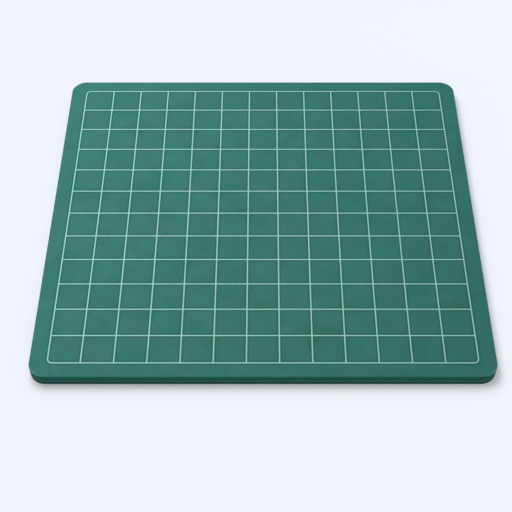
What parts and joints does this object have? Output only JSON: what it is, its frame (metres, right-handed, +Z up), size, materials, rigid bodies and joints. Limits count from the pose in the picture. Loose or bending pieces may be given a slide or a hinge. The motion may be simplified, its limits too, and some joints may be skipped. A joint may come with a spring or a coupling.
{
  "type": "flexible cutting mat",
  "caption": "Flat rectangular laminated PVC mat with rounded corners, eased edges and a flush printed square grid inside a border line, for cutting on.",
  "frame": {"origin": "middle of the underside, where the mat rests", "axes": "+X along the long side, +Y to the far edge, +Z up out of the printed cutting face"},
  "size_m": [0.141, 0.13, 0.004],
  "materials": {
    "skin_pvc": "matte",
    "healing_pvc": "matte",
    "core_pvc": "matte",
    "grid_ink": "satin"
  },
  "bodies": {
    "root": {"bottom_skin": "skin_pvc", "lower_healing_ply": "healing_pvc", "stiff_core": "core_pvc", "upper_healing_ply": "healing_pvc", "top_skin": "skin_pvc", "printed_grid": "grid_ink"}
  },
  "joints": []
}
